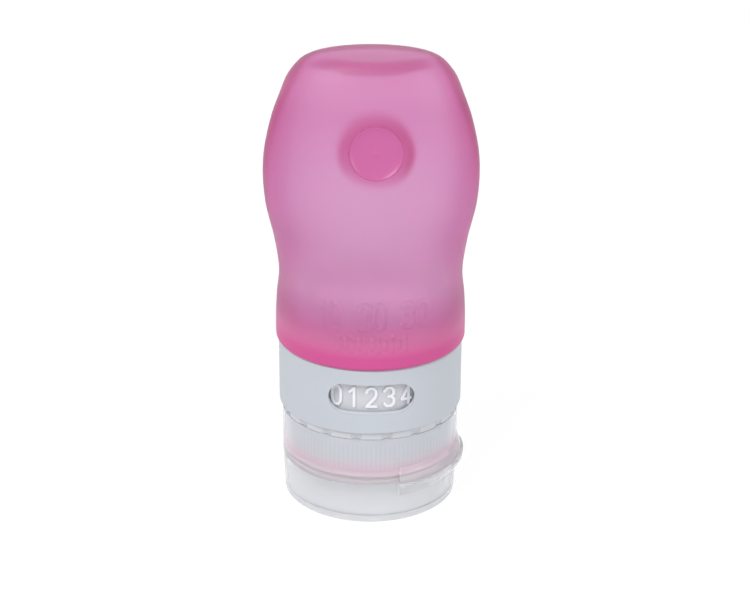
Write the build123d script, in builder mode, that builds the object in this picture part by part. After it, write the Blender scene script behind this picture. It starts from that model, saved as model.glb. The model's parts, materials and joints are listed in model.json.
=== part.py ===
from build123d import *
from math import cos, pi, radians, sin
import os

os.makedirs("parts", exist_ok=True)

# A travel squeeze bottle of silicone, standing upside down on its flip lid.
# +Z is up and the front faces -Y. The origin is the centre of the lid's flat foot.
# Lengths are millimetres and angles are degrees. A bearing is an angle about +Z,
# counted from the front towards the right.

# Clearances between pieces that move on each other
parting_gap = 0.1
running_gap = 0.08
ring_play = 0.15
overrun = 1.0
bite = 0.25

# Flip lid
foot_radius = 16.13
foot_edge = 0.35
cap_radius = 16.5
lid_height = 8.05
lid_wall = 1.1
lid_floor = 1.4
seal_radius = 10.4
seal_wall = 0.8
seal_height = 6.2
post_radius = 2.6
post_height = 5.9
post_round = 0.5

# Thumb lip of the lid, and the swell of the cap above it
lip_bearing = 60.0
lip_arc = 84.0
lip_reach = 1.35
lip_edge = 0.6
lip_drop = 2.7
swell_reach = 0.75
swell_rise = 3.1

# Film hinge, across from the thumb lip
hinge_bearing = lip_bearing + 180.0
hinge_arc = 30.0
hinge_thickness = 0.5
hinge_film = 0.22
hinge_reach = 2.4
hinge_groove = 0.9

# Screw cap
deck_thickness = 1.2
skirt_wall = 0.85
cap_skirt_height = 9.1
rib_count = 120
rib_height = 0.2
rib_width = 0.4
inner_wall_gap = 0.2
inner_wall = 0.8
inner_wall_height = 7.15
snap_depth = 0.85
snap_wall = 0.7
dais_radius = 9.4
dais_depth = 1.35
nozzle_radius = 3.2
valve_seat_radius = 5.2
valve_seat_floor = 0.8

# Drip valve and the ring that holds it in its seat
valve_radius = 5.0
valve_thickness = 0.7
valve_play = 0.05
membrane_radius = 3.0
membrane_rise = 0.9
membrane_thickness = 0.45
slit_length = 3.6
slit_width = 0.12
retainer_bore = 3.7

# Screw thread, one turn on the neck and one in the cap
thread_lead = 2.5
thread_turns = 1.0
thread_depth = 0.65
thread_root = 1.1
thread_crest = 0.6
thread_rise = 3.25

# Hard threaded neck inside the collar
neck_bore = 12.6
neck_wall = 1.05
neck_flange_radius = 15.45
neck_flange = 0.6
sleeve_wall = 1.65
neck_bead = 0.3
neck_bead_height = 0.8

# Label ring with its raised numbers and scalloped grip
grip_height = 1.25
grip_radius = 16.35
scallop_count = 18
scallop_radius = 1.9
scallop_depth = 0.4
label_wall = 1.0
label_height = 10.4
digit_height = 3.6
digit_width = 1.75
digit_stroke = 0.5
digit_relief = 0.3
digit_count = 30
digit_level = 8.1

# Collar with its window
collar_radius = 17.1
collar_wall = 1.3
collar_height = 12.7
collar_top = 1.3
collar_edge = 0.4
window_width = 15.64
window_height = 5.88
window_level = 6.94

# Silicone body
body_radius = 17.6
body_width = 39.0
body_height = 54.05
body_foot_edge = 0.85
body_wall = 1.8
base_thickness = 2.8
crown_least = 1.5
shoulder_thickness = 1.0
silicone_neck_wall = 1.6
lip_thickness = 2.0
lip_radius = 13.65

# Suction cup and the pad that it sits in
cup_radius = 4.85
cup_height = 38.75
cup_offset = 0.7
cup_tilt = 11.8
cup_depth = 0.9
cup_dish = 0.5
cup_play = 0.15
cup_rim = 0.35
stud_radius = 1.45
stud_length = 1.5
pad_radius = 6.2
pad_thickness = 3.9

# Heights that follow from the sizes above
hinge_level = lid_height + parting_gap / 2
deck_bottom = lid_height + parting_gap
deck_top = deck_bottom + deck_thickness
rim_top = deck_bottom + cap_skirt_height
seat_floor = deck_bottom - dais_depth + valve_seat_floor
silicone_lip_bottom = deck_top + valve_play
neck_bottom = silicone_lip_bottom + lip_thickness
label_bottom = rim_top + running_gap
label_top = label_bottom + grip_height + label_height
collar_bottom = label_bottom + grip_height + running_gap
collar_level = collar_bottom + collar_height
neck_top = collar_level - collar_top
flange_top = label_bottom - running_gap

# Radii that follow from the sizes above
skirt_bore = cap_radius - skirt_wall
rib_radius = skirt_bore - inner_wall_gap
wall_radius = rib_radius - rib_height
wall_bore = wall_radius - inner_wall
neck_radius = neck_bore + neck_wall
sleeve_radius = neck_bore + sleeve_wall
label_bore = sleeve_radius + running_gap
label_radius = label_bore + label_wall
collar_bore = collar_radius - collar_wall
silicone_bore = neck_bore - silicone_neck_wall

# Half widths and half depths of the body's oval sections, as shares chosen by hand
# of the sizes that they follow. Each row is a height, a half width and a half depth.
body_shares = (
    (0.080, 0.902, 0.989),
    (0.155, 0.891, 0.952),
    (0.245, 0.867, 0.900),
    (0.360, 0.907, 0.835),
    (0.497, 0.990, 0.750),
    (0.642, 1.000, 0.659),
    (0.778, 0.926, 0.574),
    (0.860, 0.846, 0.520),
    (0.925, 0.772, 0.469),
    (0.968, 0.682, 0.426),
)
# The rounded end above the last oval, as shares of its height, width and depth
crown_shares = (
    (0.400, 0.940, 0.960),
    (0.743, 0.850, 0.893),
    (0.943, 0.744, 0.807),
    (1.000, 0.647, 0.713),
)


def bearing_plane(bearing):
    """A plane through the axis: its x runs outwards at the bearing, its y is up."""
    out = (sin(radians(bearing)), -cos(radians(bearing)), 0)
    return Plane(origin=(0, 0, 0), x_dir=out, z_dir=(out[1], -out[0], 0))


def tangent_plane(bearing, radius, level):
    """A plane that touches a cylinder about the axis, seen upright from outside."""
    out = (sin(radians(bearing)), -cos(radians(bearing)), 0)
    place = (radius * out[0], radius * out[1], level)
    return Plane(origin=place, x_dir=(-out[1], out[0], 0), z_dir=out)


def lid_radius(level):
    """Outer radius of the lid, which narrows a little towards its foot."""
    return foot_radius + (cap_radius - foot_radius) * level / lid_height


# Flip lid
with BuildPart() as flip_lid:
    with BuildSketch(Plane.XZ):
        with BuildLine():
            Polyline(
                (0, 0),
                (foot_radius - foot_edge, 0),
                (lid_radius(foot_edge), foot_edge),
                (cap_radius, lid_height),
                (cap_radius - lid_wall, lid_height),
                (lid_radius(lid_floor) - lid_wall, lid_floor),
                (0, lid_floor),
                close=True,
            )
        make_face()
    revolve(axis=Axis.Z)
    with BuildSketch(Plane.XY.offset(lid_floor)):
        Circle(seal_radius)
        Circle(seal_radius - seal_wall, mode=Mode.SUBTRACT)
    extrude(amount=seal_height)
    with BuildSketch(Plane.XY.offset(lid_floor)):
        Circle(post_radius)
    extrude(amount=post_height)
    rings = flip_lid.edges().filter_by(GeomType.CIRCLE)
    post_rims = [ring for ring in rings if abs(ring.radius - post_radius) < bite]
    fillet(max(post_rims, key=lambda rim: rim.center().Z), radius=post_round)
    with BuildSketch(bearing_plane(lip_bearing - lip_arc / 2)):
        with BuildLine():
            Polyline(
                (cap_radius - bite, lid_height),
                (cap_radius + lip_reach, lid_height),
                (cap_radius + lip_reach, lid_height - lip_edge),
                (lid_radius(lid_height - lip_drop), lid_height - lip_drop),
                (lid_radius(lid_height - lip_drop) - bite, lid_height - lip_drop),
                close=True,
            )
        make_face()
    revolve(axis=Axis.Z, revolution_arc=lip_arc)
flip_lid.part.label = "flip_lid"

# Film hinge, moulded onto the outside of the lid and of the cap
with BuildPart() as film_hinge:
    with BuildSketch(bearing_plane(hinge_bearing - hinge_arc / 2)):
        with BuildLine():
            Polyline(
                (lid_radius(hinge_level - hinge_reach), hinge_level - hinge_reach),
                (lid_radius(lid_height), lid_height),
                (cap_radius, deck_bottom),
                (cap_radius, hinge_level + hinge_reach),
                (cap_radius + hinge_thickness, hinge_level + hinge_reach),
                (cap_radius + hinge_thickness, hinge_level + hinge_groove),
                (cap_radius + hinge_film, hinge_level),
                (cap_radius + hinge_thickness, hinge_level - hinge_groove),
                (cap_radius + hinge_thickness, hinge_level - hinge_reach),
                close=True,
            )
        make_face()
    revolve(axis=Axis.Z, revolution_arc=hinge_arc)
film_hinge.part.label = "film_hinge"


def thread_ridge(radius, outwards):
    """One ridge of the screw thread, which stands outwards or inwards from a wall."""
    way = 1 if outwards else -1
    start = deck_top + thread_rise
    with BuildPart() as ridge:
        with BuildLine() as path:
            Helix(pitch=thread_lead, height=thread_lead * thread_turns, radius=radius,
                  center=(0, 0, start))
        with BuildSketch(Plane(origin=path.line @ 0, x_dir=(way, 0, 0), z_dir=path.line % 0)):
            with BuildLine():
                Polyline(
                    (-bite, -thread_root / 2),
                    (thread_depth, -thread_crest / 2),
                    (thread_depth, thread_crest / 2),
                    (-bite, thread_root / 2),
                    close=True,
                )
            make_face()
        sweep(path=path.line, is_frenet=True)
    return ridge.part


# Screw cap: a smooth skirt, a deck, and a ribbed inner wall that holds the thread
with BuildPart() as cap_base:
    with BuildSketch(Plane.XY.offset(deck_bottom)):
        Circle(cap_radius)
        Circle(skirt_bore, mode=Mode.SUBTRACT)
    extrude(amount=cap_skirt_height)
    with BuildSketch(Plane.XY.offset(deck_bottom)):
        Circle(cap_radius)
    extrude(amount=deck_thickness)
    with BuildSketch(Plane.XY.offset(deck_bottom)):
        Circle(lid_radius(lid_height) - lid_wall - ring_play)
        Circle(lid_radius(lid_height) - lid_wall - ring_play - snap_wall, mode=Mode.SUBTRACT)
    extrude(amount=-snap_depth)
    with BuildSketch(Plane.XY.offset(deck_bottom)):
        Circle(dais_radius)
    extrude(amount=-dais_depth)
    with BuildSketch(Plane.XY.offset(deck_top)):
        Circle(wall_radius)
        with PolarLocations(wall_radius, rib_count):
            Rectangle(2 * rib_height, rib_width)
        Circle(wall_bore, mode=Mode.SUBTRACT)
    extrude(amount=inner_wall_height)
    with BuildSketch(Plane.XY.offset(seat_floor)):
        Circle(valve_seat_radius)
    extrude(amount=deck_top - seat_floor, mode=Mode.SUBTRACT)
    with BuildSketch(Plane.XY.offset(seat_floor)):
        Circle(nozzle_radius)
    extrude(amount=-valve_seat_floor, mode=Mode.SUBTRACT)
    with BuildSketch(bearing_plane(lip_bearing - lip_arc / 2)):
        with BuildLine():
            Polyline(
                (cap_radius - bite, deck_bottom),
                (cap_radius + swell_reach, deck_bottom),
                (cap_radius + swell_reach, deck_bottom + lip_edge),
                (cap_radius, deck_bottom + swell_rise),
                (cap_radius - bite, deck_bottom + swell_rise),
                close=True,
            )
        make_face()
    revolve(axis=Axis.Z, revolution_arc=lip_arc)
    add(thread_ridge(wall_bore, False).rotate(Axis.Z, 180))
cap_base.part.label = "cap_base"

# Drip valve: a soft disc whose domed middle is slit crosswise. Its dome is an arc from
# the middle to the rim, through a point that is a share of the way out and up.
dome_shares = (0.6, 0.64)
valve_bottom = seat_floor + valve_play
dome_out = membrane_radius * dome_shares[0]
dome_up = valve_bottom + membrane_rise * dome_shares[1]
dome_top = valve_bottom + membrane_rise + membrane_thickness
with BuildPart() as drip_valve:
    with BuildSketch(Plane.XZ):
        with BuildLine():
            Line((0, valve_bottom + membrane_rise), (0, dome_top))
            ThreePointArc(
                (0, dome_top),
                (dome_out, dome_up + membrane_thickness),
                (membrane_radius, valve_bottom + valve_thickness),
            )
            Polyline(
                (membrane_radius, valve_bottom + valve_thickness),
                (valve_radius, valve_bottom + valve_thickness),
                (valve_radius, valve_bottom),
                (membrane_radius, valve_bottom),
            )
            ThreePointArc(
                (membrane_radius, valve_bottom),
                (dome_out, dome_up),
                (0, valve_bottom + membrane_rise),
            )
        make_face()
    revolve(axis=Axis.Z)
    with BuildSketch(Plane.XY.offset(valve_bottom)):
        Rectangle(slit_length, slit_width)
        Rectangle(slit_width, slit_length)
    extrude(amount=membrane_rise + membrane_thickness, mode=Mode.SUBTRACT)
drip_valve.part.label = "drip_valve"

# Ring pressed into the seat above the valve
retainer_bottom = valve_bottom + valve_thickness + valve_play
with BuildPart() as valve_retainer:
    with BuildSketch(Plane.XY.offset(retainer_bottom)):
        Circle(valve_seat_radius)
        Circle(retainer_bore, mode=Mode.SUBTRACT)
    extrude(amount=deck_top - retainer_bottom)
valve_retainer.part.label = "valve_retainer"

# Threaded neck: a hard tube round the silicone neck, with the flange that carries
# the label ring and a bead that snaps into the collar
with BuildPart() as threaded_neck:
    with BuildSketch(Plane.XZ):
        with BuildLine():
            Polyline(
                (neck_bore, neck_bottom),
                (neck_radius, neck_bottom),
                (neck_radius, flange_top - neck_flange),
                (neck_flange_radius, flange_top - neck_flange),
                (neck_flange_radius, flange_top),
                (sleeve_radius, flange_top),
                (sleeve_radius, neck_top - neck_bead_height),
                (sleeve_radius + neck_bead, neck_top - neck_bead_height),
                (sleeve_radius + neck_bead, neck_top),
                (neck_bore, neck_top),
                close=True,
            )
        make_face()
    revolve(axis=Axis.Z)
    add(thread_ridge(neck_radius, True))
threaded_neck.part.label = "threaded_neck"

# Strokes of the plain numbers, as shares of a number's width and height
digit_shares = {
    0: (((0.3, 1), (0.7, 1), (0.95, 0.82), (1, 0.5), (0.95, 0.18), (0.7, 0), (0.3, 0),
         (0.05, 0.18), (0, 0.5), (0.05, 0.82), (0.3, 1)),),
    1: (((0.1, 0.78), (0.55, 1), (0.55, 0)),),
    2: (((0, 0.78), (0.1, 0.93), (0.35, 1), (0.7, 1), (0.95, 0.88), (1, 0.68), (0.85, 0.48),
         (0, 0), (1, 0)),),
    3: (((0, 0.84), (0.25, 1), (0.7, 1), (0.95, 0.87), (0.95, 0.66), (0.7, 0.53), (0.4, 0.53)),
        ((0.7, 0.53), (1, 0.38), (1, 0.16), (0.72, 0), (0.25, 0), (0, 0.15))),
    4: (((0.76, 0), (0.76, 1), (0, 0.28), (1, 0.28)),),
    5: (((0.95, 1), (0.1, 1), (0.03, 0.55), (0.3, 0.62), (0.7, 0.62), (1, 0.45), (1, 0.18),
         (0.7, 0), (0.25, 0), (0, 0.13)),),
    6: (((0.9, 0.92), (0.6, 1), (0.3, 0.95), (0.06, 0.72), (0, 0.3), (0.08, 0.12), (0.3, 0),
         (0.7, 0), (0.95, 0.14), (1, 0.34), (0.92, 0.5), (0.7, 0.6), (0.3, 0.6), (0.03, 0.42)),),
    7: (((0, 1), (1, 1), (0.38, 0)),),
    8: (((0.3, 0.54), (0.06, 0.68), (0.06, 0.86), (0.3, 1), (0.7, 1), (0.94, 0.86),
         (0.94, 0.68), (0.7, 0.54), (0.3, 0.54), (0, 0.38), (0, 0.16), (0.28, 0), (0.72, 0),
         (1, 0.16), (1, 0.38), (0.7, 0.54)),),
    9: (((0.1, 0.08), (0.4, 0), (0.7, 0.05), (0.94, 0.28), (1, 0.7), (0.92, 0.88), (0.7, 1),
         (0.3, 1), (0.05, 0.86), (0, 0.66), (0.08, 0.5), (0.3, 0.4), (0.7, 0.4), (0.97, 0.58)),),
}


def raised_digit(number, bearing):
    """One raised number of the label ring, its middle at the given bearing."""
    foot = label_radius - bite
    middle = label_bottom + digit_level
    with BuildPart() as digit:
        with BuildSketch(tangent_plane(bearing, foot, middle)):
            for stroke in digit_shares[number]:
                points = [Vector((u - 0.5) * digit_width, (v - 0.5) * digit_height)
                          for u, v in stroke]
                for start, end in zip(points, points[1:]):
                    SlotCenterPoint((start + end) / 2, end, digit_stroke)
        extrude(amount=bite + digit_relief)
    return digit.part


# Label ring: it turns on the neck behind the collar's window
with BuildPart() as label_ring:
    with BuildSketch(Plane.XZ):
        with BuildLine():
            Polyline(
                (label_bore, label_bottom),
                (grip_radius, label_bottom),
                (grip_radius, label_bottom + grip_height),
                (label_radius, label_bottom + grip_height),
                (label_radius, label_top),
                (label_bore, label_top),
                close=True,
            )
        make_face()
    revolve(axis=Axis.Z)
    with BuildSketch(Plane.XY.offset(label_bottom)):
        with PolarLocations(grip_radius + scallop_radius - scallop_depth, scallop_count):
            Circle(scallop_radius)
    extrude(amount=grip_height, mode=Mode.SUBTRACT)
    for place in range(digit_count):
        add(raised_digit((place + 2) % 10, place * 360 / digit_count))
label_ring.part.label = "label_ring"

# Collar: the outer ring with the window, which the silicone body stands on
with BuildPart() as collar:
    with BuildSketch(Plane.XZ):
        with BuildLine():
            Polyline(
                (collar_radius, collar_bottom),
                (collar_radius, collar_level),
                (neck_bore, collar_level),
                (neck_bore, neck_top),
                (sleeve_radius + neck_bead, neck_top),
                (sleeve_radius + neck_bead, neck_top - neck_bead_height),
                (sleeve_radius, neck_top - neck_bead_height),
                (sleeve_radius, label_top + running_gap),
                (collar_bore, label_top + running_gap),
                (collar_bore, collar_bottom),
                close=True,
            )
        make_face()
    revolve(axis=Axis.Z)
    rims = collar.edges().filter_by(GeomType.CIRCLE)
    fillet([rim for rim in rims if abs(rim.radius - collar_radius) < bite], radius=collar_edge)
    with BuildSketch(Plane.XZ.offset(collar_radius)) as window:
        with Locations((0, collar_bottom + window_level)):
            SlotOverall(window_width, window_height)
    extrude(amount=-collar_radius, mode=Mode.SUBTRACT)
collar.part.label = "collar"


def oval(level, half_width, half_depth):
    """One oval section of the body at a height."""
    with BuildSketch(Plane.XY.offset(level)) as section:
        Ellipse(half_width, half_depth)
    return section.sketch


def body_form(inset, foot_oval, top):
    """The body's form a wall's inset inside its skin, from a foot oval to a top height."""
    half_width = body_width / 2 - inset
    half_depth = body_radius - inset
    trunk = [foot_oval] if foot_oval else []
    for share, width_share, depth_share in body_shares:
        level = collar_level + share * body_height
        trunk.append(oval(level, half_width * width_share, half_depth * depth_share))
    last, last_width, last_depth = body_shares[-1]
    start = collar_level + last * body_height
    if start > top - crown_least:
        trunk.pop()
        last, last_width, last_depth = body_shares[-2]
        start = collar_level + last * body_height
    crown = [trunk[-1]]
    for rise, width_share, depth_share in crown_shares:
        crown.append(oval(start + rise * (top - start), half_width * last_width * width_share,
                          half_depth * last_depth * depth_share))
    with BuildPart() as form:
        loft(trunk)
        loft(crown)
    return form.part


def front_depth(level):
    """Half depth of the body at a height, between the two ovals beside it."""
    share = (level - collar_level) / body_height
    for (low, _, low_depth), (high, _, high_depth) in zip(body_shares, body_shares[1:]):
        if low <= share <= high:
            part_way = (share - low) / (high - low)
            return body_radius * (low_depth + (high_depth - low_depth) * part_way)


cup_level = collar_level + cup_height
cup_plane = Plane(
    origin=(cup_offset, -front_depth(cup_level), cup_level),
    x_dir=(1, 0, 0),
    z_dir=(0, -cos(radians(cup_tilt)), sin(radians(cup_tilt))),
)

# What the body holds: its cavity, without the thick pad behind the suction cup
cavity_foot = collar_level + shoulder_thickness
cavity_top = collar_level + body_height - base_thickness
first_share, first_width, first_depth = body_shares[0]
shoulder = oval(
    collar_level + first_share * body_height,
    (body_width / 2 - body_wall) * first_width,
    (body_radius - body_wall) * first_depth,
)
with BuildPart() as cavity:
    add(body_form(body_wall, None, cavity_top))
    loft([oval(cavity_foot, silicone_bore, silicone_bore), shoulder])
    with BuildSketch(cup_plane):
        Circle(pad_radius)
    extrude(amount=-pad_thickness, mode=Mode.SUBTRACT)

# Neck sleeve: the silicone that lines the neck, with the lip that seals on the cap's deck
with BuildPart() as neck_sleeve:
    with BuildSketch(Plane.XY.offset(silicone_lip_bottom)):
        Circle(neck_bore)
    extrude(amount=collar_level - silicone_lip_bottom)
    with BuildSketch(Plane.XY.offset(silicone_lip_bottom)):
        Circle(lip_radius)
    extrude(amount=lip_thickness)
    with BuildSketch(Plane.XY.offset(silicone_lip_bottom)):
        Circle(silicone_bore)
    extrude(amount=collar_level - silicone_lip_bottom, mode=Mode.SUBTRACT)
neck_sleeve.part.label = "neck_sleeve"

# Silicone body: the shell that stands on the collar and on the sleeve
with BuildPart() as squeeze_body:
    add(body_form(0, oval(collar_level, body_radius, body_radius), collar_level + body_height))
    foot_rim = squeeze_body.edges().group_by(Axis.Z)[0]
    fillet(foot_rim, radius=body_foot_edge)
    with BuildSketch(Plane.XY.offset(collar_level)):
        Circle(silicone_bore)
    extrude(amount=cavity_foot - collar_level, mode=Mode.SUBTRACT)
    add(cavity.part, mode=Mode.SUBTRACT)
    with BuildSketch(cup_plane.offset(overrun)):
        Circle(cup_radius + cup_play)
    extrude(amount=-overrun - cup_depth, mode=Mode.SUBTRACT)
    with BuildSketch(cup_plane.offset(-cup_depth)):
        Circle(stud_radius)
    extrude(amount=-stud_length, mode=Mode.SUBTRACT)
squeeze_body.part.label = "squeeze_body"

# Suction cup: a dished disc, held by its stud in the body's pad
dish_radius = ((cup_radius - cup_rim) ** 2 + cup_dish ** 2) / (2 * cup_dish)
with BuildPart(cup_plane) as suction_cup:
    with BuildSketch(cup_plane.offset(-cup_depth)):
        Circle(cup_radius)
    extrude(amount=cup_depth)
    with Locations((0, 0, dish_radius - cup_dish)):
        Sphere(dish_radius, mode=Mode.SUBTRACT)
    with BuildSketch(cup_plane.offset(-cup_depth)):
        Circle(stud_radius)
    extrude(amount=-stud_length)
suction_cup.part.label = "suction_cup"

for piece in (flip_lid, film_hinge, cap_base, drip_valve, valve_retainer, threaded_neck,
              label_ring, collar, neck_sleeve, squeeze_body, suction_cup):
    export_step(piece.part, f"parts/{piece.part.label}.step")

bore_height = cavity_foot - silicone_lip_bottom
held = cavity.part.volume + pi * silicone_bore ** 2 * bore_height
print(f"The body holds about {held / 1000:.1f} ml")
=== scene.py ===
# %% [markdown]
# # A travel squeeze bottle
# The bottle stands upside down on its flip lid. The soft body is silicone that lets light
# through, and the collar, cap and lid are milky plastic. The measured parts come as a
# frame from the CAD model, and this lesson dresses them for a product photograph.

# %% The frame, and the units that everything below uses
import json
import math

import bmesh
import bpy
import numpy as np
from mathutils import Matrix, Vector
from mathutils.bvhtree import BVHTree

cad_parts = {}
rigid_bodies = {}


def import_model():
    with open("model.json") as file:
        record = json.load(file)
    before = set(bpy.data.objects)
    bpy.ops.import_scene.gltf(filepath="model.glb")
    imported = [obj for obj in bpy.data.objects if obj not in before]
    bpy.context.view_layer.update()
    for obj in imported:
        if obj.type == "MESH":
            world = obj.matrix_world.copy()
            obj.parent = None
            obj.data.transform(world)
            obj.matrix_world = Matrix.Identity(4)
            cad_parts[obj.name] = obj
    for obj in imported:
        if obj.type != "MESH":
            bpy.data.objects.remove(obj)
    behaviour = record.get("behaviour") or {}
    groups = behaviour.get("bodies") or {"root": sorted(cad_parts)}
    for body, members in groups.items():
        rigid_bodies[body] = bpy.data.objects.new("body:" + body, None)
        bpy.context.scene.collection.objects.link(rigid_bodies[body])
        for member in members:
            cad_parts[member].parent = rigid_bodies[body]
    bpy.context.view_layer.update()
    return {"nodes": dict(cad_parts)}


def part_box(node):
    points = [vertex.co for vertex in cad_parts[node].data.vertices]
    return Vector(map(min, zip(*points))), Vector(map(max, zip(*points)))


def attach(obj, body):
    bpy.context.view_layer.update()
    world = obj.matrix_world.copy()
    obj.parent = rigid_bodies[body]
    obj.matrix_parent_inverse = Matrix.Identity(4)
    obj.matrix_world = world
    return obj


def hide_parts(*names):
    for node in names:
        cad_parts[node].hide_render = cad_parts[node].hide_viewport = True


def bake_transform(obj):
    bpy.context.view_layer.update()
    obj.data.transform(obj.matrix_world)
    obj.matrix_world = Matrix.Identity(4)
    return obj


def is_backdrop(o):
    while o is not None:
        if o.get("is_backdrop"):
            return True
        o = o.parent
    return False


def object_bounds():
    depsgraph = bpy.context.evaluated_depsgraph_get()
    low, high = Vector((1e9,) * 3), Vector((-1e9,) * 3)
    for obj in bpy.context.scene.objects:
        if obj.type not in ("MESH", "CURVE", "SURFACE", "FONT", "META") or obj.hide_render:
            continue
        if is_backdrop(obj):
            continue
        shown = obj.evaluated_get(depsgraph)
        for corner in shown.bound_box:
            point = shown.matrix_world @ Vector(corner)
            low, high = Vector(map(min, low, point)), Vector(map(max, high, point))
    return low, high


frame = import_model()
mm = 0.001
ml = 1e-6

# %% [markdown]
# ## Camera
# The photograph looks slightly down on the bottle. Its focal length, pitch and distance
# were worked out from the rims of the lid, the cap and the collar, which are circles on
# the real bottle. The tiny turn puts the window where the photograph has it.

# %% The camera at the photograph's place
scene = bpy.context.scene
photo_width = 750
focal_px = 2000
sensor_mm = 36
camera_pitch = math.radians(22.96)
camera_roll = math.radians(0.38)
camera_turn = math.radians(-1.1)
camera_place = Vector((0.82, -341.9, 182.89)) * mm
nearest_seen = 10 * mm
farthest_seen = 20000 * mm

camera_data = bpy.data.cameras.new("photo_camera")
camera_data.sensor_width = sensor_mm
camera_data.lens = focal_px * sensor_mm / photo_width
camera_data.clip_start = nearest_seen
camera_data.clip_end = farthest_seen
camera = bpy.data.objects.new("photo_camera", camera_data)
turn = Matrix.Rotation(camera_turn, 4, "Z")
tilt = Matrix.Rotation(math.radians(90) - camera_pitch, 4, "X")
roll = Matrix.Rotation(camera_roll, 4, "Z")
camera.matrix_world = turn @ Matrix.Translation(camera_place) @ tilt @ roll
scene.collection.objects.link(camera)
scene.camera = camera
print("lens in mm:", round(camera_data.lens, 1))

# %% [markdown]
# ## Studio
# The bottle stands on plain white. Walls and large lamps could give that, but the bottle
# would then change with their brightness. Here rays that come straight from the camera, or
# through the clear plastic, see a white backdrop, and the light that falls on the bottle is
# set apart from it, so that a colour renders about as it is written.

# %% Helpers that wire shader nodes together
def feed(tree, socket, given):
    """Gives a socket a value, or links another node's output to it."""
    if isinstance(given, bpy.types.NodeSocket):
        tree.links.new(given, socket)
    else:
        socket.default_value = given


def maths(tree, operation, *given):
    """The result of one operation on numbers or on other nodes' outputs."""
    node = tree.nodes.new("ShaderNodeMath")
    node.operation = operation
    for socket, value in zip(node.inputs, given):
        feed(tree, socket, value)
    return node.outputs[0]


def plain_shader(tree, kind, colour, strength=None):
    """A shader of one colour, with a strength where it gives light."""
    node = tree.nodes.new(kind)
    node.inputs["Color"].default_value = (*colour, 1)
    if strength is not None:
        node.inputs["Strength"].default_value = strength
    return node.outputs[0]


def mixed_shader(tree, share, first, second):
    """A node that goes from one shader to another as a share rises."""
    node = tree.nodes.new("ShaderNodeMixShader")
    feed(tree, node.inputs["Fac"], share)
    tree.links.new(first, node.inputs[1])
    tree.links.new(second, node.inputs[2])
    return node


def seen_rays(tree):
    """A value that is 1 for rays that look at the backdrop: straight, mirrored or through."""
    rays = tree.nodes.new("ShaderNodeLightPath").outputs
    straight = maths(tree, "MAXIMUM", rays["Is Camera Ray"], rays["Is Glossy Ray"])
    return maths(tree, "MAXIMUM", straight, rays["Is Transmission Ray"])


# %% A white world that lights gently
white = (1, 1, 1)
room_light = 0.62

scene.view_settings.view_transform = "Standard"
world = bpy.data.worlds.new("white_studio")
scene.world = world
world.use_nodes = True
sky = world.node_tree
sky.nodes.clear()
sky_out = sky.nodes.new("ShaderNodeOutputWorld")
lighting = plain_shader(sky, "ShaderNodeBackground", white, room_light)
backdrop = plain_shader(sky, "ShaderNodeBackground", white, 1)
sky_look = mixed_shader(sky, seen_rays(sky), lighting, backdrop)
sky.links.new(sky_look.outputs[0], sky_out.inputs["Surface"])
print("world nodes:", len(sky.nodes))

# %% The floor, white to the camera but still with a faint shadow
floor_half = 3000 * mm
floor_drop = 0.02 * mm
floor_glow = 0.90
floor_shade = (0.14, 0.14, 0.14)
floor_paint = (0.88, 0.88, 0.88)

floor_mesh = bpy.data.meshes.new("floor")
corner_sides = ((-1, -1), (1, -1), (1, 1), (-1, 1))
corners = [(x * floor_half, y * floor_half, -floor_drop) for x, y in corner_sides]
floor_mesh.from_pydata(corners, [], [(0, 1, 2, 3)])
floor = bpy.data.objects.new("floor", floor_mesh)
scene.collection.objects.link(floor)
floor_look = bpy.data.materials.new("white_floor")
floor_look.use_nodes = True
tree = floor_look.node_tree
tree.nodes.clear()
floor_out = tree.nodes.new("ShaderNodeOutputMaterial")
paint = plain_shader(tree, "ShaderNodeBsdfDiffuse", floor_paint)
shade = plain_shader(tree, "ShaderNodeBsdfDiffuse", floor_shade)
glow = plain_shader(tree, "ShaderNodeEmission", white, floor_glow)
lit = tree.nodes.new("ShaderNodeAddShader")
tree.links.new(shade, lit.inputs[0])
tree.links.new(glow, lit.inputs[1])
floor_mix = mixed_shader(tree, seen_rays(tree), paint, lit.outputs[0])
tree.links.new(floor_mix.outputs[0], floor_out.inputs["Surface"])
floor_mesh.materials.append(floor_look)
floor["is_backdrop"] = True
print("floor is", 2 * floor_half / mm, "mm wide")

# %% Soft lamps: a large one from the upper left, a smaller one from the right
lamp_aim = Vector((0, 0, 42)) * mm
lamp_rows = (
    ("key_lamp", Vector((-350, -420, 520)) * mm, 350 * mm, 2.6),
    ("fill_lamp", Vector((480, -300, 260)) * mm, 300 * mm, 0.9),
)

for lamp_name, lamp_place, lamp_width, watts in lamp_rows:
    lamp_data = bpy.data.lights.new(lamp_name, "AREA")
    lamp_data.shape = "SQUARE"
    lamp_data.size = lamp_width
    lamp_data.energy = watts
    lamp = bpy.data.objects.new(lamp_name, lamp_data)
    lamp.location = lamp_place
    lamp.rotation_euler = (lamp_aim - lamp.location).to_track_quat("-Z", "Y").to_euler()
    scene.collection.objects.link(lamp)
    print(lamp_name, "of", watts, "watts")

# %% [markdown]
# ## The silicone body's form
# The body is a tube that squeezes: round at the collar, it flattens upwards into an oval
# and swells in the middle. It could be sculpted from a box, but every level of it is an
# ellipse. So the rows below give height, half width and half depth as shares of the body's
# sizes, and a smooth curve runs through them. The inner wall follows the outer one at the
# wall's thickness, so that light travels through the right depth of silicone.

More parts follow.
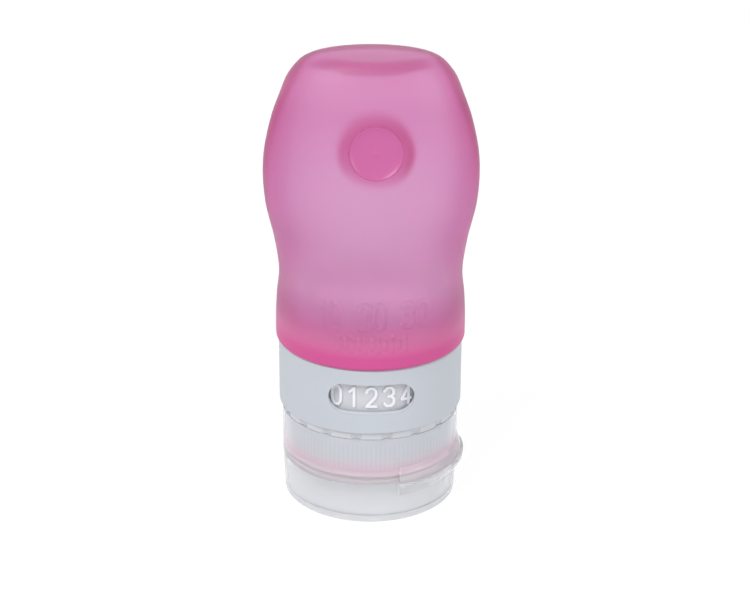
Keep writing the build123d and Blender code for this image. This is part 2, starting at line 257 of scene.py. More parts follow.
# %% Sizes of the body in mm, measured up from the collar
skin_gap = 0.04
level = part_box("collar")[1].z / mm + skin_gap
body_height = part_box("squeeze_body")[1].z / mm - level
body_radius = 17.6
body_half_width = 19.5
body_shares = (
    (0.000, 0.9026, 1.000),
    (0.080, 0.902, 0.989),
    (0.155, 0.891, 0.952),
    (0.245, 0.867, 0.900),
    (0.360, 0.907, 0.835),
    (0.497, 0.990, 0.750),
    (0.642, 1.000, 0.659),
    (0.778, 0.926, 0.574),
    (0.860, 0.846, 0.520),
    (0.925, 0.772, 0.469),
    (0.968, 0.682, 0.426),
)
crown_shares = (
    (0.9808, 0.641, 0.409),
    (0.9918, 0.580, 0.380),
    (0.9982, 0.507, 0.344),
    (1.0000, 0.441, 0.304),
    (1.0000, 0.250, 0.170),
    (1.0000, 0.001, 0.001),
)
print("body from", round(level, 2), "to", round(level + body_height, 2), "mm")

# %% The outer profile, as a smooth curve from the top's middle down
spline_steps = 40
profile_count = 300


def lengths_along(rows):
    """How far along their curve the rows lie."""
    steps = np.linalg.norm(np.diff(rows, axis=0), axis=1)
    return np.concatenate([[0], np.cumsum(steps)])


def rows_at(wanted, along, rows):
    """Rows at the wanted lengths along a curve."""
    return np.stack([np.interp(wanted, along, column) for column in rows.T], axis=1)


def smooth_rows(rows, count):
    """Points on a curve through the rows, evenly spaced along it (centripetal spline)."""
    rows = np.array(rows, float)
    ends = np.vstack([2 * rows[0] - rows[1], rows, 2 * rows[-1] - rows[-2]])
    points = []
    for a, b, c, d in zip(ends, ends[1:], ends[2:], ends[3:]):
        t0 = 0.0
        t1 = t0 + np.linalg.norm(b - a) ** 0.5
        t2 = t1 + np.linalg.norm(c - b) ** 0.5
        t3 = t2 + np.linalg.norm(d - c) ** 0.5
        for t in np.linspace(t1, t2, spline_steps, endpoint=False):
            ab = ((t1 - t) * a + (t - t0) * b) / (t1 - t0)
            bc = ((t2 - t) * b + (t - t1) * c) / (t2 - t1)
            cd = ((t3 - t) * c + (t - t2) * d) / (t3 - t2)
            abc = ((t2 - t) * ab + (t - t0) * bc) / (t2 - t0)
            bcd = ((t3 - t) * bc + (t - t1) * cd) / (t3 - t1)
            points.append(((t2 - t) * abc + (t - t1) * bcd) / (t2 - t1))
    points = np.array([*points, rows[-1]])
    along = lengths_along(points)
    return rows_at(np.linspace(0, along[-1], count), along, points)


body_rows = np.array(body_shares + crown_shares) * (body_height, body_half_width, body_radius)
profile = smooth_rows(body_rows + (level, 0, 0), profile_count)[::-1]
print("outer profile rows:", len(profile), "widest", round(profile[:, 1].max(), 2), "mm")

# %% Rows round the foot's edge, under it and down the neck to its lip
foot_edge = 0.85
foot_steps = 7
under_steps = 8
neck_steps = 12
neck_outer = 12.6 - skin_gap
neck_inner = 11.0
neck_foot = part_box("neck_sleeve")[0].z / mm
lip_radius = 13.65
lip_thickness = 2.0
lip_top = neck_foot + lip_thickness


def round_rows(heights, radii):
    """Rows where the body is round, from heights and radii of which one may be a number."""
    return [(z, radius, radius) for z, radius in np.broadcast(heights, radii)]


edge_angles = np.linspace(0, math.pi / 2, foot_steps)
turnings = round_rows(
    level + foot_edge * (1 - np.sin(edge_angles)),
    body_radius - foot_edge * (1 - np.cos(edge_angles)),
)
turnings += round_rows(level, np.linspace(body_radius - foot_edge, neck_outer, under_steps)[1:])
turnings += round_rows(np.linspace(level, lip_top, neck_steps)[1:], neck_outer)
turnings += round_rows([lip_top, neck_foot, neck_foot], [lip_radius, lip_radius, neck_inner])
print("rows below the body:", len(turnings))

# %% Rows up the inside, at the wall's thickness from the outer profile
body_wall = 1.8
wall_gain = 1.1
wall_gain_start = 0.2
side_wall_gain = 0.4
crown_wall = 2.6
bore_rise = 1.0
bore_steps = 14
slope_steps = 8
pole_radius = 0.02
tiny = 1e-9
shoulder = level + body_shares[1][0] * body_height


def smoothstep(value):
    """0 below 0, 1 above 1, and a soft rise between."""
    value = np.clip(value, 0, 1)
    return value * value * (3 - 2 * value)


def between(low, high, share):
    """Goes from one number to another as a share rises."""
    return low + (high - low) * share


def inner_rows():
    """Rows up the neck's bore, out along a slope and up the inner wall to the top's middle."""
    rows = profile[::-1]
    step = np.gradient(rows, axis=0)
    lengths = np.hypot(step[:, 0][:, None], step[:, 1:]) + tiny
    outwards = step[:, 0][:, None] / lengths
    upwards = (-step[:, 1:] / lengths).mean(axis=1)
    rise = (rows[:, 0] - shoulder) / body_height
    walls = body_wall + wall_gain * smoothstep((rise - wall_gain_start) / (1 - wall_gain_start))
    walls = between(walls, crown_wall, np.clip(upwards, 0, 1) ** 2)
    walled = []
    for (z, wide, deep), (out_wide, out_deep), up, wall in zip(rows, outwards, upwards, walls):
        if z >= shoulder:
            walled.append((
                z - wall * up,
                max(wide - (wall + side_wall_gain * out_wide) * out_wide, pole_radius),
                max(deep - wall * out_deep, pole_radius),
            ))
    bore_top = level + bore_rise
    bore = round_rows(np.linspace(neck_foot, bore_top, bore_steps)[1:], neck_inner)
    slope = []
    for share in np.linspace(0, 1, slope_steps)[1:-1]:
        eased = math.sin(share * math.pi / 2)
        slope.append((
            between(bore_top, walled[0][0], share),
            between(neck_inner, walled[0][1], eased),
            between(neck_inner, walled[0][2], eased),
        ))
    return bore + slope + walled


outside = [row for row in profile if row[0] > level + foot_edge]
inside = inner_rows()
print("rows outside and inside:", len(outside), len(inside))

# %% [markdown]
# ## Marks moulded into the silicone
# Low down on the front stands a row of plain numbers over a row of short strokes, raised a
# little. A bump in the material would be quicker, but it fades when seen from the side. So
# the points of a fine mesh are moved, and the relief catches light from any side.

# %% Strokes of the plain numbers, on a grid one wide and one high
digit_strokes = {
    "0": (((0.3, 1), (0.7, 1), (0.95, 0.82), (1, 0.5), (0.95, 0.18), (0.7, 0), (0.3, 0),
           (0.05, 0.18), (0, 0.5), (0.05, 0.82), (0.3, 1)),),
    "1": (((0.2, 0.8), (0.6, 1), (0.6, 0)),),
    "2": (((0, 0.78), (0.1, 0.93), (0.35, 1), (0.7, 1), (0.95, 0.88), (1, 0.68), (0.85, 0.48),
           (0, 0), (1, 0)),),
    "3": (((0, 0.84), (0.25, 1), (0.7, 1), (0.95, 0.87), (0.95, 0.66), (0.7, 0.53), (0.4, 0.53)),
          ((0.7, 0.53), (1, 0.38), (1, 0.16), (0.72, 0), (0.25, 0), (0, 0.15))),
}
number_row = "10 20 30"
number_width = 1.85
number_height = 4.3
number_step = 2.55
number_level = 41.6
tick_count = 11
tick_step = 1.2
tick_level = 36.6
tick_heights = (2.6, 1.5)


def mark_segments():
    """The raised strokes on the front as pairs of points, x and z in mm."""
    found = []
    for place, glyph in enumerate(number_row):
        middle = (place - (len(number_row) - 1) / 2) * number_step
        for stroke in digit_strokes.get(glyph, ()):
            spots = [
                (middle + (u - 0.5) * number_width, number_level + (v - 0.5) * number_height)
                for u, v in stroke
            ]
            found += zip(spots, spots[1:])
    for place in range(tick_count):
        x = (place - (tick_count - 1) / 2) * tick_step
        half = tick_heights[place % 2] / 2
        found.append(((x, tick_level - half), (x, tick_level + half)))
    return found


segments = mark_segments()
print("raised strokes:", len(segments))

# %% Where the suction cup sits: its middle in mm, and the way that it faces
cup_over_collar = 38.75
cup_tilt = math.radians(11.8)
cup_level = level + cup_over_collar
cup_face = np.array((0.0, -math.cos(cup_tilt), math.sin(cup_tilt)))
cup_up = np.array((0.0, math.sin(cup_tilt), math.cos(cup_tilt)))
cup_left, cup_right = (corner.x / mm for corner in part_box("suction_cup"))
front_depth = np.interp(cup_level, profile[::-1, 0], profile[::-1, 2])
cup_middle = np.array(((cup_left + cup_right) / 2, -front_depth, cup_level))
print("cup middle in mm:", [round(float(c), 2) for c in cup_middle])

# %% Points on the rings, closer together at the front where the marks are
front_half = 34
front_step = 0.5
back_step = 2.2
row_step = 0.8
# Each band goes from one height to another, and its last number is the spacing of its rows
mark_band = (level + 2.5, level + 14, 0.15)
seat_band = (cup_level - 8, cup_level + 8, 0.2)
pad_band = (cup_level - 9, cup_level + 9, 0.4)


def even_rows(rows, bands):
    """Rows taken again along the profile, with the spacing that each height band asks for."""
    rows = np.array(rows)
    along = lengths_along(rows)
    wanted = [0.0]
    while wanted[-1] < along[-1]:
        z = float(np.interp(wanted[-1], along, rows[:, 0]))
        step = next((spacing for low, high, spacing in bands if low <= z <= high), row_step)
        wanted.append(wanted[-1] + step)
    wanted[-1] = along[-1]
    return rows_at(wanted, along, rows)


def ring_points(rows):
    """Points of many rings, as rows by angles by three, in mm."""
    rows = np.array(rows)
    x = rows[:, 1][:, None] * np.sin(angles)[None, :]
    y = -rows[:, 2][:, None] * np.cos(angles)[None, :]
    z = np.repeat(rows[:, 0][:, None], len(angles), axis=1)
    return np.stack([x, y, z], axis=2)


front_degrees = np.arange(-front_half, front_half, front_step)
back_degrees = np.arange(front_half, 360 - front_half, back_step)
angles = np.radians(np.concatenate([front_degrees, back_degrees]))
outer_points = ring_points(even_rows(outside, (mark_band, seat_band)))
inner_points = ring_points(even_rows(inside, (pad_band,)))
print("rings outside and inside:", len(outer_points), len(inner_points), "of", len(angles), "points")

# %% The marks, raised by moving the points of the front outwards
mark_relief = 0.3
tick_relief = 0.16
stroke_half = 0.2
stroke_soft = 0.22
far_away = 99.0


def stroke_height(x, z):
    """Relief of the marks at spots of the front, in mm."""
    nearest = np.full(x.shape, far_away)
    for (ax, az), (bx, bz) in segments:
        run, rise = bx - ax, bz - az
        share = ((x - ax) * run + (z - az) * rise) / max(run * run + rise * rise, tiny)
        share = np.clip(share, 0, 1)
        nearest = np.minimum(nearest, np.hypot(x - ax - share * run, z - az - share * rise))
    relief = np.where(z > number_level - number_height, mark_relief, tick_relief)
    return relief * smoothstep((stroke_half + stroke_soft - nearest) / stroke_soft)


lift = stroke_height(outer_points[..., 0], outer_points[..., 2]) * (outer_points[..., 1] < 0)
outward = np.stack([np.sin(angles), -np.cos(angles), np.zeros(len(angles))], axis=1)
outer_points = outer_points + lift[..., None] * outward
print("highest mark in mm:", round(float(lift.max()), 2))

# %% The cup's seat outside and the thick pad of silicone inside, made by one helper
flat_radius = 4.95
flat_depth = 0.03
flat_soft = (0.1, 2.4)
seat_inset = 0.4
seat_radius = (cup_right - cup_left) / 2 - seat_inset
seat_depth = 0.9
seat_soft = (0.02, 0.05)
pad_radius = 4.9
pad_depth = 4.4
pad_soft = (1.4, 2.8)
pad_rise = 0.6


def set_on_cup(points, radius, depth, soft, shift=0.0):
    """Moves the points within a radius of the cup's middle to a depth under its plane. The
    soft widths lie inside and outside the radius, and the shift moves the circle upwards."""
    inner_soft, outer_soft = soft
    offset = points - cup_middle
    reach = np.hypot(offset[..., 0], offset @ cup_up - shift)
    share = smoothstep((radius + outer_soft - reach) / (outer_soft + inner_soft))
    share = share * (points[..., 1] < 0)
    return points + ((-depth - offset @ cup_face) * share)[..., None] * cup_face


outer_points = set_on_cup(outer_points, flat_radius, flat_depth, flat_soft)
outer_points = set_on_cup(outer_points, seat_radius, seat_depth, seat_soft)
inner_points = set_on_cup(inner_points, pad_radius, pad_depth, pad_soft, pad_rise)
print("seat radius in mm:", round(seat_radius, 2))


# %% The shell's mesh
def tube_mesh(name, grid):
    """A closed mesh from rings of points, with its first and last ring shut."""
    count, width = grid.shape[:2]
    index = np.arange(count * width).reshape(count, width)
    after = np.roll(index, -1, axis=1)
    faces = np.stack([index[:-1], index[1:], after[1:], after[:-1]], axis=2).reshape(-1, 4).tolist()
    ends = [index[0].tolist(), index[-1][::-1].tolist()]
    mesh = bpy.data.meshes.new(name)
    mesh.from_pydata((grid.reshape(-1, 3) * mm).tolist(), [], faces + ends)
    mesh.update()
    work = bmesh.new()
    work.from_mesh(mesh)
    bmesh.ops.recalc_face_normals(work, faces=work.faces)
    volume = work.calc_volume(signed=True)
    if volume < 0:
        bmesh.ops.reverse_faces(work, faces=work.faces)
    work.to_mesh(mesh)
    work.free()
    mesh.polygons.foreach_set("use_smooth", [True] * len(mesh.polygons))
    piece = bpy.data.objects.new(name, mesh)
    scene.collection.objects.link(piece)
    print(name, "faces:", len(mesh.polygons), "volume in ml:", round(abs(volume) / ml, 2))
    return piece


rings = np.concatenate([outer_points, ring_points(turnings), inner_points])
silicone_body = tube_mesh("silicone_body", rings)
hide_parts("squeeze_body", "neck_sleeve")
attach(silicone_body, "bottle")

# %% [markdown]
# ## How the silicone takes the light
# Thin silicone is nearly clear and thick silicone is a deep milky pink. A true scattering
# volume would show that, but it is slow and full of grain. Three numbers at each point of
# the mesh say it instead: the share of light that goes straight through, the part of the
# milky light that comes from behind, and how far a pale tone takes over from the deep one.
# The pale tone is partly the silicone's milky colour and partly painted light: it lifts the low
# body, where little light reaches the inside, and it stays deeper at the sides as painted shade.

# %% The wall's thickness under each point, found by rays
ray_start = 0.02
ray_reach = 12
soften_rounds = 3


def wall_depths(mesh, width):
    """The silicone's thickness under each point, in mm, softened from point to point."""
    surface = BVHTree.FromPolygons([v.co for v in mesh.vertices], [p.vertices for p in mesh.polygons])
    depths = np.zeros(len(mesh.vertices))
    for vertex in mesh.vertices:
        start = vertex.co - vertex.normal * ray_start * mm
        distance = surface.ray_cast(start, -vertex.normal, ray_reach * mm)[3]
        depths[vertex.index] = ray_reach if distance is None else distance / mm
    table = depths.reshape(-1, width)
    for _ in range(soften_rounds):
        table = (table + np.roll(table, 1, axis=1) + np.roll(table, -1, axis=1)) / 3
        table[1:-1] = (table[1:-1] + table[:-2] + table[2:]) / 3
    return table


points = np.array([v.co for v in silicone_body.data.vertices]).reshape(-1, len(angles), 3) / mm
heights = points[..., 2] - level
across = np.abs(points[..., 0]) / body_half_width
depths = wall_depths(silicone_body.data, len(angles))
print("silicone depth in mm from", round(float(depths.min()), 2), "to", round(float(depths.max()), 2))

# %% The outer skin: clearer where it is thin, milky over the foot, and above it a pale tone that is partly painted light
skin_clear = 0.81
thick_clear = 0.08
thin_wall = 1.9
thick_wall = 5.0
foot_start = 2.4
foot_fade = 8.0
mist_top = 25.0
mist_clear = 0.7
mist_painted_light = 0.6
pale_start = 6.5
pale_fade = 8.0
side_start = 0.62
side_end = 0.85
side_pale = 0.3
skin_pale = 0.15
skin_pale_start = 1.0
crown_start = 44.0
crown_pale = 0.15
tone_fade = 5.0
skin_glow = 0.1
pad_glow = 0.42
pad_pale = 0.25

thick = smoothstep((depths - thin_wall) / (thick_wall - thin_wall))
above_foot = smoothstep((heights - foot_start) / foot_fade)
mist = 1 - smoothstep((heights - mist_top / 2) / (mist_top / 2))
crown = smoothstep((heights - crown_start) / tone_fade)
at_side = smoothstep((across - side_start) / (side_end - side_start))
at_pad = thick * (1 - crown)

clear_by_wall = between(skin_clear, thick_clear, thick)
clear_by_height = between(skin_clear, mist_clear, mist) * above_foot
clear_share = np.minimum(clear_by_wall, clear_by_height)
glow_share = above_foot * between(skin_glow, pad_glow, at_pad)
# Painted light: a pale tone over the low body, where little light reaches the inside, kept deeper at the
# sides as painted shade
painted_light_veil = mist * smoothstep((heights - pale_start) / pale_fade) * between(1, side_pale, at_side)
skin_tone = skin_pale * smoothstep((heights - skin_pale_start) / tone_fade)
pale_share = (skin_tone + mist_painted_light * painted_light_veil + crown_pale * crown) * between(1, pad_pale, at_pad)
print("outer skin's clear share from", round(clear_share.min(), 2), "to", round(clear_share.max(), 2))

# %% The lining, clear in the body and milky in the well over the neck
well_top = 1.0
well_fade = 10.0
well_clear = 0.04
lining_clear = 0.97
lining = slice(len(outer_points) + foot_steps + 1, None)

above_well = smoothstep((heights[lining] - well_top) / well_fade)
clear_share[lining] = between(well_clear, lining_clear, above_well)
glow_share[lining] = skin_glow * above_well
pale_share[lining] = 1
shares = {"clear_share": clear_share, "glow_share": glow_share, "pale_share": pale_share}
for name, values in shares.items():
    attribute = silicone_body.data.attributes.new(name, "FLOAT", "POINT")
    attribute.data.foreach_set("value", values.ravel().astype(np.float32))
    print(name, "kept at", values.size, "points")

# %% [markdown]
# ## The suction cup
# A small round cup of the same silicone sits in a seat on the front. Its face is dished, so
# one side of it looks dark and the other bright, and its rim is thin. It is round, so an
# outline turned about the way that it faces gives all of it.

# %% The cup as a turned form in its seat
cup_profile = (
    (0.00, -0.40), (0.35, -0.40), (0.55, -0.50), (1.20, -0.48), (2.20, -0.42), (3.20, -0.33),
    (4.00, -0.20), (4.30, -0.10), (4.45, -0.01), (4.56, 0.04), (4.68, 0.04), (4.75, 0.00),
    (4.74, -0.03), (4.42, -0.03), (4.40, -0.60), (4.34, -0.80), (4.20, -0.86), (0.00, -0.86),
)
cup_steps = 96
axis_gap = 0.004


def turned_rings(outline, middle, face, up):
    """Rings of a round piece: the outline's radius and height, turned about its face."""
    turn_by = np.linspace(0, 2 * math.pi, cup_steps, endpoint=False)
    spokes = np.cos(turn_by)[:, None] * np.cross(up, face) + np.sin(turn_by)[:, None] * up
    rings = [middle + height * face + max(radius, axis_gap) * spokes for radius, height in outline]
    return np.array(rings)


suction_cup_piece = tube_mesh("dished_cup", turned_rings(cup_profile, cup_middle, cup_face, cup_up))
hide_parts("suction_cup")
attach(suction_cup_piece, "bottle")

# %% [markdown]
# ## The film hinge
# A thin moulded strip joins lid and cap at the back. A rigid strip would tear away when the lid
# opens, and an armature is more than it needs. So its mesh has many rows, and it thins to a
# film along its middle.

# %% Sizes of the strip in mm
hinge_bearing = math.radians(240)
hinge_half_arc = math.radians(15)
hinge_low, hinge_high = (corner.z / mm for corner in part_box("film_hinge"))
hinge_middle = (hinge_low + hinge_high) / 2
hinge_thickness = 0.5
hinge_film = 0.22
hinge_groove = 0.9
hinge_gap = 0.01
hinge_columns = 25
hinge_rows = 33
cap_radius = 16.5
lid_height = 8.05
lid_taper = 0.37
print("hinge strip from", round(hinge_low, 2), "to", round(hinge_high, 2), "mm")


# %% The strip, made fine enough to bend
def hinge_row(work, z):
    """One row of points at a height: the strip's inside, then its outside."""
    near = smoothstep(1 - abs(z - hinge_middle) / hinge_groove)
    outer = cap_radius + between(hinge_thickness, hinge_film, near)
    inner = cap_radius - lid_taper * max(0, (lid_height - z) / lid_height) + hinge_gap
    spokes = [
        (math.sin(hinge_bearing + turn), -math.cos(hinge_bearing + turn))
        for turn in np.linspace(-hinge_half_arc, hinge_half_arc, hinge_columns)
    ]
    return [
        [work.verts.new((radius * x * mm, radius * y * mm, z * mm)) for x, y in spokes]
        for radius in (inner, outer)
    ]


def hinge_mesh():
    """Rows up the strip with a skin inside and outside, closed all round."""
    work = bmesh.new()
    grid = [hinge_row(work, z) for z in np.linspace(hinge_low, hinge_high, hinge_rows)]
    spans = range(hinge_columns - 1)
    for low, high in zip(grid, grid[1:]):
        for k in spans:
            work.faces.new((low[1][k], low[1][k + 1], high[1][k + 1], high[1][k]))
            work.faces.new((low[0][k + 1], low[0][k], high[0][k], high[0][k + 1]))
        for k in (0, -1):
            work.faces.new((low[0][k], low[1][k], high[1][k], high[0][k]))
    for row in (grid[0], grid[-1]):
        for k in spans:
            work.faces.new((row[0][k], row[0][k + 1], row[1][k + 1], row[1][k]))
    bmesh.ops.recalc_face_normals(work, faces=work.faces)
    mesh = bpy.data.meshes.new("hinge_strip")
    work.to_mesh(mesh)
    work.free()
    return mesh


strip = bpy.data.objects.new("hinge_strip", hinge_mesh())
scene.collection.objects.link(strip)
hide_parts("film_hinge")
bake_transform(strip)
print("hinge strip faces:", len(strip.data.polygons))

# %% [markdown]
# ## Finishes
# Every surface here is moulded and frosted: it lets light through and blurs it. A scattering
# shader could do that, but thin walls make it noisy, so a milky shader is mixed with a rough
# clear one. The fine grain of the mould is a noise that all these finishes share, so it is
# one node group, and each finish gives it values of its own.

# %% Shared group: the mould's fine grain
grain_detail = 3
broad_scale = 90
broad_detail = 2


def ranged(tree, given, low, high, to_low=0.0, to_high=1.0):
    """A value taken from one range to another."""
    node = tree.nodes.new("ShaderNodeMapRange")
    feed(tree, node.inputs["Value"], given)
    for name, value in (("From Min", low), ("From Max", high), ("To Min", to_low), ("To Max", to_high)):
        feed(tree, node.inputs[name], value)
    return node.outputs["Result"]


def new_group(name, takes, gives):
    """A node group with the named sockets: the group, what it is given and what it puts out."""
    group = bpy.data.node_groups.new(name, "ShaderNodeTree")
    for direction, names in (("INPUT", takes), ("OUTPUT", gives)):
        for socket_name in names:
            group.interface.new_socket(name=socket_name, in_out=direction, socket_type="NodeSocketFloat")
    return group, group.nodes.new("NodeGroupInput").outputs, group.nodes.new("NodeGroupOutput").inputs


def noise(tree, place, scale, detail):
    """A noise over the surface, from 0 to 1."""
    node = tree.nodes.new("ShaderNodeTexNoise")
    tree.links.new(place, node.inputs["Vector"])
    feed(tree, node.inputs["Scale"], scale)
    node.inputs["Detail"].default_value = detail
    return node.outputs["Fac"]


grain_takes = ("Scale", "Rough Low", "Rough High")
mould_grain, given, put_out = new_group("mould_grain", grain_takes, ("Height", "Roughness"))
place = mould_grain.nodes.new("ShaderNodeTexCoord").outputs["Object"]
fine = noise(mould_grain, place, given["Scale"], grain_detail)
broad = noise(mould_grain, place, broad_scale, broad_detail)
roughness = ranged(mould_grain, broad, 0, 1, given["Rough Low"], given["Rough High"])
mould_grain.links.new(fine, put_out["Height"])
mould_grain.links.new(roughness, put_out["Roughness"])
print("grain group nodes:", len(mould_grain.nodes))

# %% Shared group: how far a point stands out from the bottle's axis
stands_out, given, put_out = new_group("stands_out", ("Radius", "Level"), ("Mask",))
split = stands_out.nodes.new("ShaderNodeSeparateXYZ")
flat = stands_out.nodes.new("ShaderNodeCombineXYZ")
distance = stands_out.nodes.new("ShaderNodeVectorMath")
distance.operation = "LENGTH"
place = stands_out.nodes.new("ShaderNodeTexCoord").outputs["Object"]
stands_out.links.new(place, split.inputs[0])
stands_out.links.new(split.outputs["X"], flat.inputs["X"])
stands_out.links.new(split.outputs["Y"], flat.inputs["Y"])
stands_out.links.new(flat.outputs[0], distance.inputs[0])
far = maths(stands_out, "GREATER_THAN", distance.outputs["Value"], given["Radius"])
high = maths(stands_out, "GREATER_THAN", split.outputs["Z"], given["Level"])
stands_out.links.new(maths(stands_out, "MULTIPLY", far, high), put_out["Mask"])
print("mask group nodes:", len(stands_out.nodes))


def standing_out(look, radius, height):
    """1 where a finish is farther from the axis than a radius, and higher than a height."""
    node = look.node_tree.nodes.new("ShaderNodeGroup")
    node.node_tree = stands_out
    node.inputs["Radius"].default_value = radius * mm
    node.inputs["Level"].default_value = height * mm
    return node.outputs["Mask"]


# %% A finish that lets part of the light through, with the grain built in
grain_scale = 900
grain_strength = 0.1
grain_height = 0.05 * mm
rough_spread = 0.12
plastic_ior = 1.45
soak_headroom = 1.05


def textured(tree, shader, roughness):
    """Gives a shader the mould's grain: a fine bump and a roughness that varies."""
    texture = tree.nodes.new("ShaderNodeGroup")
    texture.node_tree = mould_grain
    texture.inputs["Scale"].default_value = grain_scale
    texture.inputs["Rough Low"].default_value = roughness * (1 - rough_spread)
    texture.inputs["Rough High"].default_value = roughness * (1 + rough_spread)
    raised = tree.nodes.new("ShaderNodeBump")
    raised.inputs["Strength"].default_value = grain_strength
    raised.inputs["Distance"].default_value = grain_height
    tree.links.new(texture.outputs["Height"], raised.inputs["Height"])
    tree.links.new(raised.outputs["Normal"], shader.inputs["Normal"])
    tree.links.new(texture.outputs["Roughness"], shader.inputs["Roughness"])


def frosted(
    name, colour, clear, rough, clear_rough, glow=0.0, ior=plastic_ior, clear_ior=None,
    soak=None, tint=white,
):
    """A milky shader mixed with a clear one. clear is the share of light that goes through,
    glow the part of the milky light that comes from the surface's other side, and soak the
    light that a metre takes off in red, green and blue."""
    look = bpy.data.materials.new(name)
    look.use_nodes = True
    tree = look.node_tree
    out = tree.nodes["Material Output"]
    milky = tree.nodes["Principled BSDF"]
    milky.inputs["Base Color"].default_value = (*colour, 1)
    milky.inputs["IOR"].default_value = ior
    glass = tree.nodes.new("ShaderNodeBsdfPrincipled")
    glass.inputs["Base Color"].default_value = (*tint, 1)
    glass.inputs["Transmission Weight"].default_value = 1
    glass.inputs["IOR"].default_value = clear_ior or ior
    textured(tree, milky, rough)
    textured(tree, glass, clear_rough)
    through = plain_shader(tree, "ShaderNodeBsdfTranslucent", colour)
    cloud = mixed_shader(tree, glow, milky.outputs[0], through)
    cloud.name = "cloud"
    both = mixed_shader(tree, clear, cloud.outputs[0], glass.outputs[0])
    both.name = "both"
    tree.links.new(both.outputs[0], out.inputs["Surface"])
    if soak:
        density = max(soak) * soak_headroom
        absorb = tree.nodes.new("ShaderNodeVolumeAbsorption")
        absorb.inputs["Density"].default_value = density
        absorb.inputs["Color"].default_value = (*[1 - s / density for s in soak], 1)
        tree.links.new(absorb.outputs[0], out.inputs["Volume"])
    print("finish", name, "has", len(tree.nodes), "nodes")
    return look


# %% How a finish varies over its piece
def from_mesh(look, attribute):
    """A number that each point of the mesh carries."""
    source = look.node_tree.nodes.new("ShaderNodeAttribute")
    source.attribute_name = attribute
    return source.outputs["Fac"]


def two_tones(tree, low, high, share):
    """A colour that goes from one tone to another as a share rises."""
    tone = tree.nodes.new("ShaderNodeMix")
    tone.data_type = "RGBA"
    for name, colour in (("A", low), ("B", high)):
        feed(tree, tone.inputs[name], colour)
    tree.links.new(share, tone.inputs["Factor"])
    return tone.outputs["Result"]


def paint_milk(look, colour):
    """Links a colour to both milky shaders of a finish."""
    tree = look.node_tree
    tree.links.new(colour, tree.nodes["Principled BSDF"].inputs["Base Color"])
    tree.links.new(colour, tree.nodes["Translucent BSDF"].inputs["Color"])


def dress(piece, look):
    """Gives a piece one finish all over."""
    piece.data.materials.clear()
    piece.data.materials.append(look)
    print(look.name, "on", piece.name)


# %% [markdown]
# ## Silicone
# The body's silicone takes its three numbers from the mesh, and light that goes through it
# is soaked up on its way, most of all green. That makes thick places deeper, as in the real
# thing. The cup is the same silicone, but thick and backed by the body, so it is mostly
# milky. The valve is clear silicone that hardly shows.

# %% The silicone of the body, the cup and the valve
silicone_ior = 1.41
deep_pink = (0.57, 0.072, 0.262, 1)
pale_pink = (1.0, 0.68, 0.92, 1)
cup_pink = (0.575, 0.125, 0.345)
valve_milk = (0.8, 0.8, 0.82)
silicone_soak = (6, 165, 50)
clear_tint = (0.935, 1, 1)

pink_silicone = frosted(
    "pink_silicone", deep_pink[:3], clear=skin_clear, rough=0.42, clear_rough=0.42,
    ior=silicone_ior, soak=silicone_soak, tint=clear_tint,
)
silicone_tree = pink_silicone.node_tree
for node_name, attribute in (("both", "clear_share"), ("cloud", "glow_share")):
    mix_share = silicone_tree.nodes[node_name].inputs["Fac"]
    silicone_tree.links.new(from_mesh(pink_silicone, attribute), mix_share)
pale = from_mesh(pink_silicone, "pale_share")
paint_milk(pink_silicone, two_tones(silicone_tree, deep_pink, pale_pink, pale))
cup_silicone = frosted(
    "cup_silicone", cup_pink, clear=0.12, rough=0.3, clear_rough=0.3,
    ior=silicone_ior, soak=silicone_soak,
)
valve_clear = frosted(
    "valve_silicone", valve_milk, clear=0.4, rough=0.3, clear_rough=0.3, ior=silicone_ior,
)
dress(silicone_body, pink_silicone)
dress(suction_cup_piece, cup_silicone)
dress(frame["nodes"]["drip_valve"], valve_clear)

# %% [markdown]
# ## Collar, neck and turning ring
# The collar is a cool grey plastic. Nearer the axis, in the window's recess and inside, it is
# painted paler, as painted light that lifts their shade. The ring behind it carries raised white
# numbers. Separate materials on chosen faces would do, but the faces are many, so a mask by the
# distance from the axis tells raised from plain.

# %% The finishes of the collar, the neck and the ring
collar_grey = (0.615, 0.655, 0.71, 1)
recess_painted_light = (0.78, 0.79, 0.83, 1)
neck_white = (0.95, 0.96, 1.0)
ring_ground = (0.64, 0.65, 0.69, 1)
number_white = (0.88, 0.89, 0.93, 1)
recess_radius = 16.9
number_radius = 15.43
number_foot = 1.3
below_everything = -1000
ring_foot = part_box("label_ring")[0].z / mm

milky_collar = frosted(
    "milky_collar", collar_grey[:3], clear=0.06, rough=0.45, clear_rough=0.4, glow=0.12,
)
# Painted light: nearer the axis than this radius the grey is painted paler, to lift the shade of the
# window's recess
out_of_recess = standing_out(milky_collar, recess_radius, below_everything)
paint_milk(milky_collar, two_tones(milky_collar.node_tree, recess_painted_light, collar_grey, out_of_recess))
milky_neck = frosted("milky_neck", neck_white, clear=0.3, rough=0.3, clear_rough=0.2, glow=0.5)
milky_ring = frosted("milky_ring", ring_ground[:3], clear=0.06, rough=0.4, clear_rough=0.3)
on_numbers = standing_out(milky_ring, number_radius, ring_foot + number_foot)
paint_milk(milky_ring, two_tones(milky_ring.node_tree, ring_ground, number_white, on_numbers))
dress(frame["nodes"]["collar"], milky_collar)
dress(frame["nodes"]["threaded_neck"], milky_neck)
dress(frame["nodes"]["label_ring"], milky_ring)

# %% [markdown]
# ## The cap
# The cap's skirt is thin and frosted, and the ribs and the pink silicone lip behind it show
# through as soft tones. They are there as solids, but the frosting blurs them away, so the
# milky part repeats them: bands of colour by height, and fine upright ribs.
# The lowest bands are near white as painted light, which lifts the shade under the skirt's flange.

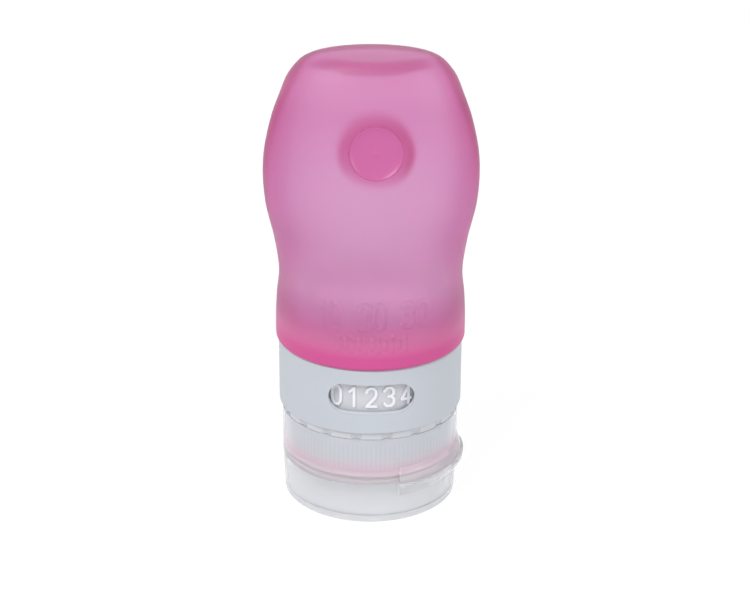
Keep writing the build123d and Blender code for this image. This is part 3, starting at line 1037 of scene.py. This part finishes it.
# %% Tones of the skirt by height in mm, and its ribs
thin_ior = 1.25
cap_milk = (0.93, 0.96, 1.0)
skirt_tones_and_painted_light = (
    # Painted light: the two lowest tones are near white to lift the shade under the flange
    (8.0, (1.0, 0.95, 1.0)),
    (9.8, (1.0, 0.88, 0.96)),
    (10.8, (0.94, 0.72, 0.84)),
    (11.6, (0.94, 0.82, 0.91)),
    (12.8, (0.92, 0.90, 0.97)),
    (14.4, (0.90, 0.93, 1.0)),
)
rib_count = 120
rib_shade = 0.11
rib_grey = (0.5, 0.52, 0.58, 1)
rib_trough = -0.2
rib_foot = (10.6, 11.6)
rib_top = (15.6, 16.8)


def skirt_bands(tree, height):
    """Soft bands of colour by height, the lowest of them painted light."""
    lowest, highest = skirt_tones_and_painted_light[0][0], skirt_tones_and_painted_light[-1][0]
    ramp_node = tree.nodes.new("ShaderNodeValToRGB")
    ramp = ramp_node.color_ramp
    ramp.interpolation = "EASE"
    while len(ramp.elements) < len(skirt_tones_and_painted_light):
        ramp.elements.new(0.5)
    for stop, (z, colour) in zip(ramp.elements, skirt_tones_and_painted_light):
        stop.position = (z - lowest) / (highest - lowest)
        stop.color = (*colour, 1)
    tree.links.new(ranged(tree, height, lowest * mm, highest * mm), ramp_node.inputs["Fac"])
    return ramp_node.outputs["Color"]


def skirt_ribs(tree, x, y, height):
    """How dark the ribs are at a place: waves round the axis, faded at both ends."""
    turns = maths(tree, "MULTIPLY", maths(tree, "ARCTAN2", y, x), rib_count)
    ridge = ranged(tree, maths(tree, "COSINE", turns), rib_trough, 1, 0, rib_shade)
    above = ranged(tree, height, rib_foot[0] * mm, rib_foot[1] * mm)
    below = ranged(tree, height, rib_top[1] * mm, rib_top[0] * mm)
    return maths(tree, "MULTIPLY", maths(tree, "MULTIPLY", above, below), ridge)


# %% The finishes of the cap
cap_finish = {"rough": 0.25, "clear_rough": 0.10, "clear_ior": thin_ior}
milky_cap = frosted("milky_cap", cap_milk, clear=0.6, **cap_finish)
milky_skirt = frosted("milky_skirt", cap_milk, clear=0.62, **cap_finish)
skirt_tree = milky_skirt.node_tree
skirt_place = skirt_tree.nodes.new("ShaderNodeSeparateXYZ")
object_place = skirt_tree.nodes.new("ShaderNodeTexCoord").outputs["Object"]
skirt_tree.links.new(object_place, skirt_place.inputs[0])
x, y, height = skirt_place.outputs
ribs = skirt_ribs(skirt_tree, x, y, height)
paint_milk(milky_skirt, two_tones(skirt_tree, skirt_bands(skirt_tree, height), rib_grey, ribs))
dress(strip, milky_cap)
dress(frame["nodes"]["valve_retainer"], milky_cap)
dress(frame["nodes"]["cap_base"], milky_skirt)

# %% [markdown]
# ## The lid
# The lid is the foot that the bottle stands on. Its wall is clearer than its floor, where
# light has more plastic to cross. Two materials would meet in a hard line, so one finish
# changes its clear share with the same mask as the ring's numbers.

# %% The finish of the lid, clearer in its wall than in its floor
lid_milk = (0.955, 0.965, 1.0)
floor_clear = 0.42
wall_clear = 0.66
lid_wall_inside = 15.3
lid_floor = 1.5

milky_lid = frosted(
    "milky_lid", lid_milk, clear=wall_clear, rough=0.2, clear_rough=0.08, glow=0.2,
    clear_ior=thin_ior,
)
lid_tree = milky_lid.node_tree
in_wall = standing_out(milky_lid, lid_wall_inside, lid_floor)
lid_clear = ranged(lid_tree, in_wall, 0, 1, floor_clear, wall_clear)
lid_tree.links.new(lid_clear, lid_tree.nodes["both"].inputs["Fac"])
dress(frame["nodes"]["flip_lid"], milky_lid)

# %% The sizes of the dressed model
low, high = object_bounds()
print("dressed box in mm:", [round(c / mm, 2) for c in (*low, *high)])
